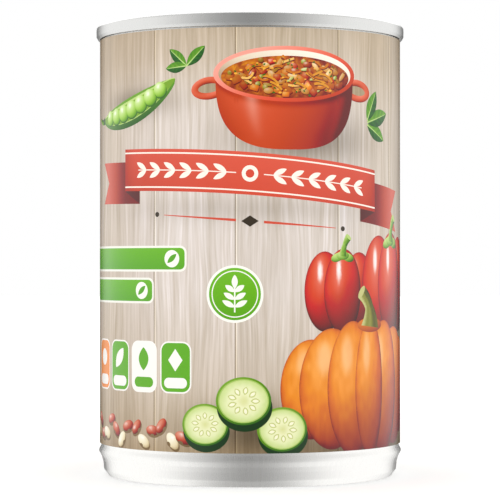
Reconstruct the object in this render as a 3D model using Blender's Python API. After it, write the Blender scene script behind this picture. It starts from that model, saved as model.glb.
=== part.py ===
"""A shut steel soup can, standing on its base.

The can is drawn in one piece, with a bead and a tapered stacking base below the label.
A ring-pull end is seamed on at the top, and a paper label is wrapped round the wall.
A shut can is solid here: nothing inside it is modelled.

Units are metres, +Z is up, and the origin is the centre of the base on the table.
The label's front faces -Y, its glued lap is at +Y, and the tab's nose points to +Y.
"""

import math

import bmesh
import bpy

MM = 0.001
GAP = 0.3 * MM
MERGE_DISTANCE = 0.001 * MM
SHARP_ANGLE = math.radians(40.0)
SEGMENTS = 80

# The whole can
CAN_HEIGHT = 109.0 * MM
LABEL_RADIUS = 36.7 * MM
SEAM_RADIUS = 37.55 * MM

# The drawn body
WALL_RADIUS = LABEL_RADIUS - 0.6 * MM
BARE_RADIUS = 36.35 * MM
BEAD_RADIUS = 36.82 * MM
BEAD_Z = 6.2 * MM
TAPER_RADIUS = 35.75 * MM
TAPER_Z = 2.9 * MM
HEEL_RADIUS = 35.65 * MM
HEEL_Z = 1.7 * MM
FOOT_OUTER_RADIUS = 34.3 * MM
FOOT_INNER_RADIUS = 33.3 * MM
FOOT_CURVE = 1.4 * MM
BASE_PANEL_Z = 2.4 * MM
BASE_RING_RADII = (27.5 * MM, 20.5 * MM, 13.5 * MM)
BASE_RING_WIDTH = 3.0 * MM
BASE_RING_DROP = 0.7 * MM

# The paper label
LABEL_BOTTOM_Z = 8.0 * MM
LABEL_WALL = 0.3 * MM
PAPER_THICKNESS = 0.12 * MM
LAP_LENGTH = 8.0 * MM
LAP_RAMP = 1.5 * MM

# The seamed end
SEAM_BOTTOM_Z = 105.95 * MM
SEAM_THICKNESS = 1.35 * MM
SEAM_CROWN_HEIGHT = 0.8 * MM
SEAM_TOE_HEIGHT = 1.0 * MM
SEAM_TOE_INSET = 0.6 * MM
PANEL_Z = 104.6 * MM
PANEL_RADIUS = 33.0 * MM
COUNTERSINK_Z = 103.9 * MM
COUNTERSINK_RADIUS = 33.85 * MM
CHUCK_FOOT_RADIUS = 34.6 * MM
SCORE_RADIUS = 32.2 * MM
SCORE_WIDTH = 0.5 * MM
SCORE_DEPTH = 0.2 * MM
GROOVE_RADIUS = 29.0 * MM
GROOVE_WIDTH = 1.6 * MM
GROOVE_DEPTH = 0.35 * MM
END_UNDERSIDE_Z = 103.4 * MM
FINGER_WELL_Y = -5.5 * MM
FINGER_WELL_HALF = (10.5 * MM, 7.5 * MM)
FINGER_WELL_DEPTH = 0.8 * MM

# The pull tab, an egg-shaped pressing with curled edges
TAB_HALF_LENGTH = 18.0 * MM
TAB_HALF_WIDTH = 11.5 * MM
TAB_TAPER = 0.25
TAB_CENTRE_Y = 13.4 * MM
CURL_RADIUS = 0.8 * MM
WEB_HALF_THICKNESS = 0.3 * MM
HOLE_OFFSET_Y = -7.0 * MM
HOLE_HALF = (8.0 * MM, 8.2 * MM)
TAB_STEPS = 72
CURL_STEPS = 6
TAB_CLEARANCE = 0.35 * MM
TAB_Z = PANEL_Z + TAB_CLEARANCE + CURL_RADIUS

# The rivet, drawn up from the panel through the tab
RIVET_OFFSET_Y = 9.3 * MM
RIVET_SHANK_RADIUS = 1.6 * MM
RIVET_HEAD_RADIUS = 2.9 * MM
RIVET_HEAD_HEIGHT = 0.7 * MM
RIVET_HEAD_CURVE = 0.6 * MM
RIVET_ROOT_DEPTH = 0.5 * MM
RIVET_HOLE_RADIUS = 2.0 * MM
RIVET_STEPS = 24

# Finishes: colour in linear RGB, roughness, metallic
TINPLATE = ((0.78, 0.78, 0.77), 0.28, 1.0)
TAB_STEEL = ((0.72, 0.72, 0.71), 0.3, 1.0)
COATED_PAPER = ((0.63, 0.56, 0.46), 0.45, 0.0)


def clear_scene():
    for old in list(bpy.data.objects):
        bpy.data.objects.remove(old)


def make_material(name, finish):
    colour, roughness, metallic = finish
    material = bpy.data.materials.new(name)
    material.use_nodes = True
    shader = material.node_tree.nodes["Principled BSDF"]
    shader.inputs["Base Color"].default_value = (*colour, 1.0)
    shader.inputs["Roughness"].default_value = roughness
    shader.inputs["Metallic"].default_value = metallic
    return material


def add_object(name, mesh, material=None):
    obj = bpy.data.objects.new(name, mesh)
    bpy.context.scene.collection.objects.link(obj)
    if material is not None:
        mesh.materials.append(material)
    return obj


def hide_helper(obj):
    obj.hide_render = True
    obj.display_type = "WIRE"


def finished_mesh(bm, name):
    """Mesh of a closed bmesh, with its faces outwards, smooth on the rounds and sharp at the corners."""
    bmesh.ops.recalc_face_normals(bm, faces=bm.faces)
    mesh = bpy.data.meshes.new(name)
    bm.to_mesh(mesh)
    bm.free()
    mesh.shade_smooth()
    mesh.set_sharp_from_angle(angle=SHARP_ANGLE)
    return mesh


def elbow(start, end, bulge, steps=4):
    """Quarter ellipse from start to end, both (radius, z), without its start.

    bulge is "radius" where the curve leaves start along the radius, and "z" where it leaves up or down.
    """
    (r0, z0), (r1, z1) = start, end
    points = []
    for step in range(1, steps + 1):
        angle = 0.5 * math.pi * step / steps
        early, late = math.sin(angle), 1.0 - math.cos(angle)
        along_r, along_z = (early, late) if bulge == "radius" else (late, early)
        points.append((r0 + (r1 - r0) * along_r, z0 + (z1 - z0) * along_z))
    return points


def wave(start, end, steps=6):
    """S-curve from start to end, both (radius, z), upright at both ends, without its start."""
    (r0, z0), (r1, z1) = start, end
    points = []
    for step in range(1, steps + 1):
        share = step / steps
        eased = 0.5 - 0.5 * math.cos(math.pi * share)
        points.append((r0 + (r1 - r0) * eased, z0 + (z1 - z0) * share))
    return points


def groove(radius, z, width, depth):
    """Four corners of a round-the-can groove below z, met from the axis outwards; its sides slope."""
    half, floor_half = 0.5 * width, 0.25 * width
    return [
        (radius - half, z),
        (radius - floor_half, z - depth),
        (radius + floor_half, z - depth),
        (radius + half, z),
    ]


def turned(name, profile, material=None, steps=SEGMENTS):
    """Solid of revolution about Z. The profile starts and ends on the axis, which the spin's ends share."""
    bm = bmesh.new()
    points = [bm.verts.new((radius, 0.0, z)) for radius, z in profile]
    edges = [bm.edges.new(pair) for pair in zip(points, points[1:])]
    bmesh.ops.spin(
        bm,
        geom=points + edges,
        cent=(0.0, 0.0, 0.0),
        axis=(0.0, 0.0, 1.0),
        angle=2.0 * math.pi,
        steps=steps,
        use_merge=True,
    )
    bmesh.ops.remove_doubles(bm, verts=bm.verts, dist=MERGE_DISTANCE)
    return add_object(name, finished_mesh(bm, name), material)


def boolean(obj, operation, other):
    cut = obj.modifiers.new(other.name, "BOOLEAN")
    cut.operation = operation
    cut.solver = "EXACT"
    cut.object = other
    hide_helper(other)


def body_profile():
    """The wall, its recess for the label, the bead, the tapered base and the ringed underside."""
    top_z = END_UNDERSIDE_Z - GAP
    shoulder_z = LABEL_BOTTOM_Z - GAP
    bead = (BEAD_RADIUS, BEAD_Z)
    heel = (HEEL_RADIUS, HEEL_Z)
    profile = [(0.0, top_z), (WALL_RADIUS, top_z), (WALL_RADIUS, shoulder_z), (BARE_RADIUS, shoulder_z)]
    profile += wave(profile[-1], bead, steps=4)
    profile += wave(bead, (TAPER_RADIUS, TAPER_Z), steps=6)
    profile.append(heel)
    profile += elbow(heel, (FOOT_OUTER_RADIUS, 0.0), "z")
    foot = (FOOT_INNER_RADIUS, 0.0)
    profile.append(foot)
    profile += elbow(foot, (FOOT_INNER_RADIUS - FOOT_CURVE, BASE_PANEL_Z), "z", steps=3)
    for radius in BASE_RING_RADII:
        ring = groove(radius, BASE_PANEL_Z, BASE_RING_WIDTH, BASE_RING_DROP)
        profile += reversed(ring)
    profile.append((0.0, BASE_PANEL_Z))
    return profile


def end_profile():
    """The panel with its groove and score, the countersink, the chuck wall and the double seam."""
    panel_edge = (PANEL_RADIUS, PANEL_Z)
    sink = (COUNTERSINK_RADIUS, COUNTERSINK_Z)
    chuck_foot = (CHUCK_FOOT_RADIUS, PANEL_Z)
    seam_middle = SEAM_RADIUS - 0.5 * SEAM_THICKNESS
    seam_inner = (SEAM_RADIUS - SEAM_THICKNESS, CAN_HEIGHT - SEAM_CROWN_HEIGHT)
    seam_crown = (seam_middle, CAN_HEIGHT)
    seam_outer = (SEAM_RADIUS, CAN_HEIGHT - SEAM_CROWN_HEIGHT)
    seam_lower = (SEAM_RADIUS, SEAM_BOTTOM_Z + SEAM_TOE_HEIGHT)
    profile = [(0.0, PANEL_Z)]
    profile += groove(GROOVE_RADIUS, PANEL_Z, GROOVE_WIDTH, GROOVE_DEPTH)
    profile += groove(SCORE_RADIUS, PANEL_Z, SCORE_WIDTH, SCORE_DEPTH)
    profile.append(panel_edge)
    profile += elbow(panel_edge, sink, "z", steps=3)
    profile += elbow(sink, chuck_foot, "radius", steps=3)
    profile.append(seam_inner)
    profile += elbow(seam_inner, seam_crown, "z", steps=3)
    profile += elbow(seam_crown, seam_outer, "radius", steps=3)
    profile.append(seam_lower)
    profile += elbow(seam_lower, (SEAM_RADIUS - SEAM_TOE_INSET, SEAM_BOTTOM_Z), "z", steps=3)
    profile += [(WALL_RADIUS, SEAM_BOTTOM_Z), (WALL_RADIUS, END_UNDERSIDE_Z), (0.0, END_UNDERSIDE_Z)]
    return profile


def make_finger_well():
    """Flattened ball that presses a shallow dish into the panel, below the tab's free end."""
    half_x, half_y = FINGER_WELL_HALF
    bm = bmesh.new()
    bmesh.ops.create_uvsphere(bm, u_segments=24, v_segments=12, radius=1.0)
    bmesh.ops.scale(bm, vec=(half_x, half_y, FINGER_WELL_DEPTH), verts=bm.verts)
    well = add_object("finger_well", finished_mesh(bm, "finger_well"))
    well.location = (0.0, FINGER_WELL_Y, PANEL_Z)
    return well


def make_rivet():
    """Shank and flattened head, reaching down into the panel that they are drawn from."""
    root_z = PANEL_Z - RIVET_ROOT_DEPTH
    head_z = TAB_Z + WEB_HALF_THICKNESS + GAP
    head_edge = (RIVET_HEAD_RADIUS, head_z)
    crown = (RIVET_HEAD_RADIUS - RIVET_HEAD_CURVE, head_z + RIVET_HEAD_HEIGHT)
    profile = [(0.0, crown[1]), crown]
    profile += elbow(crown, head_edge, "radius", steps=3)
    profile += [(RIVET_SHANK_RADIUS, head_z), (RIVET_SHANK_RADIUS, root_z), (0.0, root_z)]
    rivet = turned("rivet", profile, steps=RIVET_STEPS)
    rivet.location.y = TAB_CENTRE_Y + RIVET_OFFSET_Y
    return rivet


def make_end(material):
    end = turned("top_end", end_profile(), material)
    boolean(end, "DIFFERENCE", make_finger_well())
    boolean(end, "UNION", make_rivet())
    return end


def label_outline():
    """The label's outer edge as (x, y) points. It rises by one paper thickness where the two ends overlap."""
    lap_angle = LAP_LENGTH / LABEL_RADIUS
    ramp_angle = LAP_RAMP / LABEL_RADIUS
    free_edge = 0.5 * math.pi - 0.5 * lap_angle
    single = free_edge + lap_angle + ramp_angle
    rest = 2.0 * math.pi - lap_angle - ramp_angle
    raised = LABEL_RADIUS + PAPER_THICKNESS
    places = [(free_edge + share * lap_angle, raised) for share in (0.0, 0.5, 1.0)]
    places += [(single + rest * step / SEGMENTS, LABEL_RADIUS) for step in range(SEGMENTS + 1)]
    return [(radius * math.cos(angle), radius * math.sin(angle)) for angle, radius in places]


def make_label(material):
    """An annulus between the outline and the inner circle, extruded to the label's height."""
    bm = bmesh.new()
    inner_radius = LABEL_RADIUS - LABEL_WALL
    outer = [bm.verts.new((x, y, LABEL_BOTTOM_Z)) for x, y in label_outline()]
    inner = []
    for vert in outer:
        reach = inner_radius / math.hypot(vert.co.x, vert.co.y)
        inner.append(bm.verts.new((vert.co.x * reach, vert.co.y * reach, LABEL_BOTTOM_Z)))
    # At the lap's free edge one outer point stands above another, and the two share an inner point.
    bmesh.ops.remove_doubles(bm, verts=inner, dist=MERGE_DISTANCE)
    inner = [vert for vert in inner if vert.is_valid]
    rims = [
        bm.edges.new((ring[i], ring[(i + 1) % len(ring)]))
        for ring in (outer, inner)
        for i in range(len(ring))
    ]
    annulus = bmesh.ops.bridge_loops(bm, edges=rims)["faces"]
    raised = bmesh.ops.extrude_face_region(bm, geom=annulus)["geom"]
    top = [item for item in raised if isinstance(item, bmesh.types.BMVert)]
    height = SEAM_BOTTOM_Z - GAP - LABEL_BOTTOM_Z
    bmesh.ops.translate(bm, vec=(0.0, 0.0, height), verts=top)
    return add_object("paper_label", finished_mesh(bm, "paper_label"), material)


def tab_section(width):
    """Cross-section of the tab from its hole, at 0, to its outer edge, at width: a thin web between two curls."""
    curl = min(CURL_RADIUS, 0.25 * width)
    web = min(WEB_HALF_THICKNESS, 0.8 * curl)
    half_turn = math.pi - math.asin(web / curl)
    section = []
    for centre, facing in ((curl, math.pi), (width - curl, 0.0)):
        for step in range(CURL_STEPS):
            angle = facing - half_turn + 2.0 * half_turn * step / (CURL_STEPS - 1)
            section.append((centre + curl * math.cos(angle), curl * math.sin(angle)))
    return section


def make_tab(material):
    """The section is carried round the tab, between the finger hole and the egg-shaped outer edge."""
    bm = bmesh.new()
    rings = []
    for step in range(TAB_STEPS):
        angle = 2.0 * math.pi * step / TAB_STEPS
        across, along = math.cos(angle), math.sin(angle)
        hole = (HOLE_HALF[0] * across, HOLE_OFFSET_Y + HOLE_HALF[1] * along)
        edge = (TAB_HALF_WIDTH * across * (1.0 - TAB_TAPER * along), TAB_HALF_LENGTH * along)
        width = math.dist(hole, edge)
        ring = []
        for reach, height in tab_section(width):
            share = reach / width
            x = hole[0] + (edge[0] - hole[0]) * share
            y = hole[1] + (edge[1] - hole[1]) * share
            ring.append(bm.verts.new((x, y, height)))
        rings.append(ring)
    for this, after in zip(rings, rings[1:] + rings[:1]):
        for i in range(len(this)):
            j = (i + 1) % len(this)
            bm.faces.new((this[i], this[j], after[j], after[i]))
    tab = add_object("pull_tab", finished_mesh(bm, "pull_tab"), material)
    tab.location = (0.0, TAB_CENTRE_Y, TAB_Z)
    boolean(tab, "DIFFERENCE", make_rivet_hole())
    return tab


def make_rivet_hole():
    bm = bmesh.new()
    bmesh.ops.create_cone(
        bm,
        cap_ends=True,
        segments=RIVET_STEPS,
        radius1=RIVET_HOLE_RADIUS,
        radius2=RIVET_HOLE_RADIUS,
        depth=6.0 * CURL_RADIUS,
    )
    hole = add_object("rivet_hole", finished_mesh(bm, "rivet_hole"))
    hole.location = (0.0, TAB_CENTRE_Y + RIVET_OFFSET_Y, TAB_Z)
    return hole


def main():
    clear_scene()
    tinplate = make_material("tinplate", TINPLATE)
    tab_steel = make_material("tab_steel", TAB_STEEL)
    coated_paper = make_material("coated_paper", COATED_PAPER)
    turned("can_body", body_profile(), tinplate)
    make_end(tinplate)
    make_tab(tab_steel)
    make_label(coated_paper)


main()
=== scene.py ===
"""A shut steel soup can with a wrapped paper label, dressed for a plain studio shot.

Shapes are worked out in millimetres and turned to metres when a mesh, a lamp or the camera takes them.
The label's print is laid out on the unrolled sheet: u runs to the right from the middle of the front, and v
is the height above the table.
"""

import math
from collections import namedtuple
from functools import partial
from itertools import product

import bpy
import numpy as np
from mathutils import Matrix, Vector
from mathutils.geometry import delaunay_2d_cdt


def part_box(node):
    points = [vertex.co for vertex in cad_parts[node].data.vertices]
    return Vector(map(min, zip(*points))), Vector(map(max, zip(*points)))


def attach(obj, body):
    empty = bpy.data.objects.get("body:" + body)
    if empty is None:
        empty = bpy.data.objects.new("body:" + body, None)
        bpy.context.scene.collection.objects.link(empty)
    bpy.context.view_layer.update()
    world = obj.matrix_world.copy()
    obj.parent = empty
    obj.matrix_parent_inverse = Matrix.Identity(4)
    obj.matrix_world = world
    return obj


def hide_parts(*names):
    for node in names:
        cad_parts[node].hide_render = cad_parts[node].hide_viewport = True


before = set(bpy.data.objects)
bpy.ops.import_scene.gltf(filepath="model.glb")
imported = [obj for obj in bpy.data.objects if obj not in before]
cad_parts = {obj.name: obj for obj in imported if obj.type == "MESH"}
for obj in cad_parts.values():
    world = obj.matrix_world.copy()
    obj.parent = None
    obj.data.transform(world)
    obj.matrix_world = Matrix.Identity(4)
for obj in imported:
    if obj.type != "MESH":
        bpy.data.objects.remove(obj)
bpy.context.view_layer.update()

MM = 0.001
TURN = 2.0 * math.pi
SHARP_ANGLE = math.radians(35.0)

# Sizes of the can, read from the frame. The outline there is a polygon, so the radii are rounded.
end_low, end_high = (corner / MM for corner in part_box("top_end"))
tab_low, tab_high = (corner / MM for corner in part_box("pull_tab"))
label_low, label_high = (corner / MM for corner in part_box("paper_label"))
CAN_HEIGHT = end_high.z
SEAM_RADIUS = round(end_high.x, 2)
LABEL_RADIUS = round(label_high.x, 1)
END_UNDERSIDE = end_low.z

# The camera of the photograph: its distance comes from how much the rims curve.
IMAGE_PIXELS = 500
FOCAL_PIXELS = 2246
SENSOR_MM = 36.0
CAMERA_DISTANCE = 15.0 * LABEL_RADIUS
CAMERA_HEIGHT = 51.4
CAMERA_AIM_HEIGHT = 54.8

# The unrolled sheet: its size, the lap at the back, and the paper's thickness
SHEET_AROUND = TURN * LABEL_RADIUS
SHEET_LOW = label_low.z
SHEET_HIGH = label_high.z
LAP = 8.0
LAP_RAMP = 1.5
PAPER = 0.12
SHEET_LEFT = -0.5 * SHEET_AROUND - 0.5 * LAP
SHEET_RIGHT = SHEET_LEFT + SHEET_AROUND
# The lattice of points that carry the print's colours, and how many of its steps a shape takes at once
LATTICE = 0.42
FINE, MEDIUM, COARSE = 1, 2, 5


def srgb(code):
    """An sRGB hex colour as three values from 0 to 1, still in sRGB, so that prints blend as ink does."""
    return np.array([int(code[i : i + 2], 16) for i in (0, 2, 4)]) / 255.0


def linear(values):
    """sRGB values turned to linear ones by the standard's two-part curve."""
    values = np.clip(np.asarray(values, dtype=float), 0.0, 1.0)
    return np.where(values <= 0.04045, values / 12.92, ((values + 0.055) / 1.055) ** 2.4)


def linear_rgba(code):
    """A hex colour as four linear values, with full cover."""
    return (*linear(srgb(code)), 1.0)


def feed(node, inputs):
    """Gives each socket, by name or number, a value, an output, or another node's first output."""
    for socket, value in inputs.items():
        if isinstance(value, bpy.types.Node):
            value = value.outputs[0]
        if isinstance(value, bpy.types.NodeSocket):
            node.id_data.links.new(value, node.inputs[socket])
        else:
            node.inputs[socket].default_value = value
    return node


def add_node(tree, kind, inputs=(), **settings):
    """Adds a shader node with its settings and feeds its sockets."""
    node = tree.nodes.new("ShaderNode" + kind)
    for key, value in settings.items():
        setattr(node, key, value)
    return feed(node, dict(inputs))


def new_material(name):
    """A material, what adds a node to it, and its shader."""
    material = bpy.data.materials.new(name)
    material.use_nodes = True
    tree = material.node_tree
    return material, partial(add_node, tree), tree.nodes["Principled BSDF"]


def shown(name, data):
    """An object at the origin that brings the mesh, lamp or camera into the scene."""
    item = bpy.data.objects.new(name, data)
    bpy.context.scene.collection.objects.link(item)
    return item


def aimed(item, place, height):
    """Puts the object at a place and turns it towards a height on the can's axis."""
    item.location = Vector(place) * MM
    item.rotation_euler = (Vector((0.0, 0.0, height)) - Vector(place)).to_track_quat("-Z", "Y").to_euler()
    return item


# How many radians of a round lie between two of its points, and what a stretch may pass its last step by
ARC_STEP = 0.16
STEP_SLACK = 1e-6


def rounded_path(corners, step=0.5):
    """A profile of (radius, z) points through corners given as (radius, z, fillet).

    Each corner is replaced by an arc of its fillet radius, which touches both sides at
    fillet / tan(half the angle between them). Straight stretches get a point every step or less.
    """
    places = np.array([corner[:2] for corner in corners])
    pieces = [places[:1]]
    for before, here, after, (_, _, fillet) in zip(places, places[1:], places[2:], corners[1:-1]):
        back = (before - here) / np.linalg.norm(before - here)
        on = (after - here) / np.linalg.norm(after - here)
        half = 0.5 * math.acos(np.clip(back @ on, -1.0, 1.0))
        if fillet == 0.0 or half > 0.5 * math.pi - 1e-4:
            pieces.append(here[None])
            continue
        inward = (back + on) / np.linalg.norm(back + on)
        centre = here + inward * fillet / math.sin(half)
        first = here + back * fillet / math.tan(half) - centre
        last = here + on * fillet / math.tan(half) - centre
        sweep = math.pi - 2.0 * half
        share = np.linspace(0.0, 1.0, max(4, int(round(sweep / ARC_STEP))))[:, None]
        arc = np.sin((1.0 - share) * sweep) * first + np.sin(share * sweep) * last
        pieces.append(centre + arc / math.sin(sweep))
    path = np.concatenate([*pieces, places[-1:]])
    filled = [path[:1]]
    for start, stop in zip(path, path[1:]):
        count = max(1, math.ceil(np.linalg.norm(stop - start) / step - STEP_SLACK))
        filled.append(start + (stop - start) * (np.arange(1, count + 1) / count)[:, None])
    return np.concatenate(filled)


def corner_uv(*corners):
    """UV rows of many faces, from the (u, v) of all their first corners, all their second ones and so on."""
    pairs = np.array([np.broadcast_arrays(u, v) for u, v in corners])
    return np.moveaxis(pairs, (0, 1), (-2, -1)).reshape(-1, 2)


def turned(name, profile, material, steps, relief=None, axis_y=0.0):
    """A closed surface of revolution about Z, with the profile's two ends on the axis as poles.

    A point at share s of the turn is (r cos, r sin, z) of the angle s * 360 degrees. relief, where given,
    adds a height to each point from its x, y and z, and axis_y moves the axis along Y. The UV map holds
    millimetres round the wall and along the profile.
    """
    angle = TURN * np.arange(steps) / steps
    radius, height = profile[1:-1].T
    x = radius[:, None] * np.cos(angle)
    y = radius[:, None] * np.sin(angle)
    z = np.repeat(height[:, None], steps, axis=1)
    poles = [(0.0, 0.0, profile[0, 1]), (0.0, 0.0, profile[-1, 1])]
    points = np.concatenate([np.stack([x, y, z], axis=2).reshape(-1, 3), poles])
    if relief is not None:
        points[:, 2] += relief(*points.T)
    points[:, 1] += axis_y

    ring = np.arange(steps)
    beside = (ring + 1) % steps
    row = steps * np.arange(len(radius) - 1)[:, None]
    quads = np.stack([row + ring, row + beside, row + steps + beside, row + steps + ring], axis=2)
    last = steps * (len(radius) - 1)
    first_fan = np.stack([np.full(steps, last + steps), beside, ring], axis=1)
    last_fan = np.stack([np.full(steps, last + steps + 1), last + ring, last + beside], axis=1)
    faces = quads.reshape(-1, 4).tolist() + first_fan.tolist() + last_fan.tolist()

    along = np.concatenate([[0.0], np.cumsum(np.linalg.norm(np.diff(profile, axis=0), axis=1))])
    around = np.arange(steps + 1) / steps * TURN * LABEL_RADIUS
    left, right = around[:-1], around[1:]
    middle = 0.5 * (left + right)
    low, high = along[1:-2, None], along[2:-1, None]
    uv = [
        corner_uv((left, low), (right, low), (right, high), (left, high)),
        corner_uv((middle, along[0]), (right, along[1]), (left, along[1])),
        corner_uv((middle, along[-1]), (left, along[-2]), (right, along[-2])),
    ]
    return mesh_piece(name, points, faces, material, np.concatenate(uv))


def fill(layer, key, values):
    """Fills a mesh layer. It comes right after the layer is made, because the next one made moves it."""
    layer.foreach_set(key, values.astype(np.float32).ravel())


def mesh_piece(name, points, faces, material, uv=None):
    """An object at the origin from points and faces, smooth on its rounds and sharp at its corners."""
    mesh = bpy.data.meshes.new(name)
    mesh.from_pydata((points * MM).tolist(), [], faces)
    mesh.materials.append(material)
    if uv is not None:
        fill(mesh.uv_layers.new(name="surface_mm").uv, "vector", uv)
    mesh.shade_smooth()
    mesh.set_sharp_from_angle(angle=SHARP_ANGLE)
    return shown(name, mesh)


def settle(piece, slot, *nodes):
    """The piece stands for the nodes, which it hides, and moves with the can. The slot is not used."""
    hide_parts(*nodes)
    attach(piece, "root")


# The metal's orange peel, its width and depth, and the depth of its forming lines, in metres
PEEL_WIDTH = 2.2 * MM
PEEL_DEPTH = 0.06 * MM
LINE_DEPTH = 0.02 * MM


def metal_material(name, tone, roughness, grain, coordinates, streak):
    """Tinned steel, rolled bright and formed cold.

    The eye gets a soft mirror: fine forming lines, close together across and much longer along, blur its
    reflections unevenly, and a faint orange-peel swell bends them. grain is the lines' size, in the unit of
    the coordinates they are laid out in.
    """
    material, add, shader = new_material(name)
    place = add("TexCoord")
    spread = {"Vector": place.outputs[coordinates], "Scale": tuple(1.0 / size for size in grain)}
    scaled = add("Mapping", spread)
    lines = add("TexNoise", {"Vector": scaled, "Scale": 1.0, "Detail": 3.0})
    width = {"Vector": place.outputs["Object"], "Scale": 1.0 / PEEL_WIDTH, "Detail": 1.0}
    swell = add("TexNoise", width)
    reach = {"From Min": 0.3, "From Max": 0.7, "To Min": roughness - 0.04, "To Max": roughness + 0.05}
    blur = add("MapRange", {"Value": lines, **reach})
    peel = add("Bump", {"Height": swell, "Strength": 0.05, "Distance": PEEL_DEPTH})
    depth = {"Height": lines, "Normal": peel, "Strength": streak, "Distance": LINE_DEPTH}
    marks = add("Bump", depth)
    feed(shader, {"Base Color": linear_rgba(tone), "Metallic": 1.0, "Roughness": blur, "Normal": marks})
    return material


# The underside's pressed rings: their radii, and each one's corners as (offset, height)
RING_RADII = (13.5, 20.5, 27.5)
RING_CORNERS = ((-1.5, 2.4), (-0.8, 1.7), (0.8, 1.7), (1.5, 2.4))


def body_profile():
    """The underside with its rings, the foot, the taper, the bead and the plain wall behind the label."""
    wall = LABEL_RADIUS - 0.25
    bare = LABEL_RADIUS - 0.35
    top = END_UNDERSIDE - 0.3
    corners = [(0.0, 2.4, 0.0)]
    corners += [(ring + offset, rise, 0.4) for ring, (offset, rise) in product(RING_RADII, RING_CORNERS)]
    corners += [
        (31.9, 2.4, 0.7),
        (33.2, 0.0, 0.45),
        (34.5, 0.0, 0.55),
        (35.66, 1.6, 0.7),
        (35.85, 3.5, 1.5),
        (36.2, 4.7, 0.5),
        (36.98, 6.15, 0.75),
        (36.3, 7.4, 0.4),
        (bare, 8.1, 0.2),
        (wall, 8.4, 0.05),
        (wall, 10.0, 0.0),
    ]
    # Nothing shows behind the label and below the end, so the profile has only its corners there.
    return np.concatenate([rounded_path(corners), [(wall, top), (0.0, top)]])


TAB_NOSE_Y = tab_high.y
TAB_TAIL_Y = tab_low.y
TAB_MIDDLE_Y = 0.5 * (TAB_NOSE_Y + TAB_TAIL_Y)
TAB_HALF_WIDTH = 11.5
TAB_HALF_LENGTH = 0.5 * (TAB_NOSE_Y - TAB_TAIL_Y)
TAB_TAPER = 0.25
TAB_HOLE_HALF = (8.0, 8.2)
TAB_HOLE_Y = -7.0
TAB_CURL = 0.8
TAB_WEB = 0.3
TAB_Z = 0.5 * (tab_low.z + tab_high.z)
TAB_STEPS = 220
RIVET_Y = TAB_MIDDLE_Y + 9.3
SLOT_RADIUS = 3.95
SLOT_HALF_WIDTH = 0.38
SLOT_SWEEP = math.radians(118.0)
# The ridge round the tongue: the half sizes of its oval, how far its middle lies from the rivet, and its rise
RIDGE_HALF, RIDGE_BACK, RIDGE_HEIGHT = (6.9, 6.6), 0.4, 0.28
PANEL_Z = 104.6
SEAM_HEIGHT = 3.05


def end_profile():
    """The panel, its groove and score, the countersink, the chuck wall and the double seam, closed below."""
    plug = LABEL_RADIUS - 0.6
    corners = [
        (0.0, END_UNDERSIDE, 0.0),
        (plug, END_UNDERSIDE, 0.0),
        (plug, CAN_HEIGHT - 3.0, 0.0),
        (36.6, CAN_HEIGHT - SEAM_HEIGHT, 0.1),
        (SEAM_RADIUS - 0.45, CAN_HEIGHT - SEAM_HEIGHT, 0.25),
        (SEAM_RADIUS, CAN_HEIGHT - 2.3, 0.5),
        (SEAM_RADIUS, CAN_HEIGHT, 0.6),
        (SEAM_RADIUS - 1.35, CAN_HEIGHT, 0.6),
        (34.75, 104.9, 0.9),
        (34.35, 103.9, 0.42),
        (33.5, 103.9, 0.42),
        (33.1, PANEL_Z, 0.4),
        (32.45, PANEL_Z, 0.05),
        (32.2, PANEL_Z - 0.18, 0.04),
        (31.95, PANEL_Z, 0.05),
        (29.9, PANEL_Z, 0.4),
        (29.4, PANEL_Z - 0.4, 0.35),
        (28.6, PANEL_Z - 0.4, 0.35),
        (28.1, PANEL_Z, 0.4),
        (0.0, PANEL_Z, 0.0),
    ]
    return rounded_path(corners, step=0.45)


def soft_step(value):
    """S-curve from 0 at 0 and below to 1 at 1 and above."""
    value = np.clip(value, 0.0, 1.0)
    return value * value * (3.0 - 2.0 * value)


# The panel inside its groove, with the fingertip's dish, the tab's bed, and the coin below the rivet
PANEL_RADIUS = 28.0
DISH_HALF, DISH_Y, DISH_DEPTH = (10.5, 7.5), -5.5, 0.75
BED_MARGIN, BED_DEPTH = 2.2, 0.22
COIN_RADIUS, COIN_HEIGHT = 4.2, 0.2


def panel_relief(x, y, z):
    """The dish for a fingertip, the bed pressed round the tab, and the low coin that the rivet rises from."""
    on_panel = (z > PANEL_Z - 0.6) & (np.hypot(x, y) < PANEL_RADIUS)
    dish = np.hypot(x / DISH_HALF[0], (y - DISH_Y) / DISH_HALF[1])
    along = (y - TAB_MIDDLE_Y) / (TAB_HALF_LENGTH + BED_MARGIN)
    narrowed = 1.0 - TAB_TAPER * np.clip(along, -1.0, 1.0)
    bed = np.hypot(x / ((tab_high.x + BED_MARGIN) * narrowed), along)
    coin = np.hypot(x, y - RIVET_Y) / COIN_RADIUS
    height = -DISH_DEPTH * soft_step((1.0 - dish) / 0.7)
    height -= BED_DEPTH * soft_step((1.0 - bed) / 0.07)
    height += COIN_HEIGHT * soft_step((1.0 - coin) / 0.2)
    return np.where(on_panel, height, 0.0)


def tab_loop(angle):
    """The finger hole's edge and the tab's egg-shaped outer edge, as (x, y) offsets from the tab's middle.

    The hole is an oval. The outer edge is (a cos, b sin), and narrows towards the nose by 1 - taper * sin.
    """
    across, along = np.cos(angle), np.sin(angle)
    hole = np.stack([TAB_HOLE_HALF[0] * across, TAB_HOLE_Y + TAB_HOLE_HALF[1] * along], 1)
    edge = np.stack([TAB_HALF_WIDTH * across * (1.0 - TAB_TAPER * along), TAB_HALF_LENGTH * along], 1)
    return hole, edge


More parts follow.
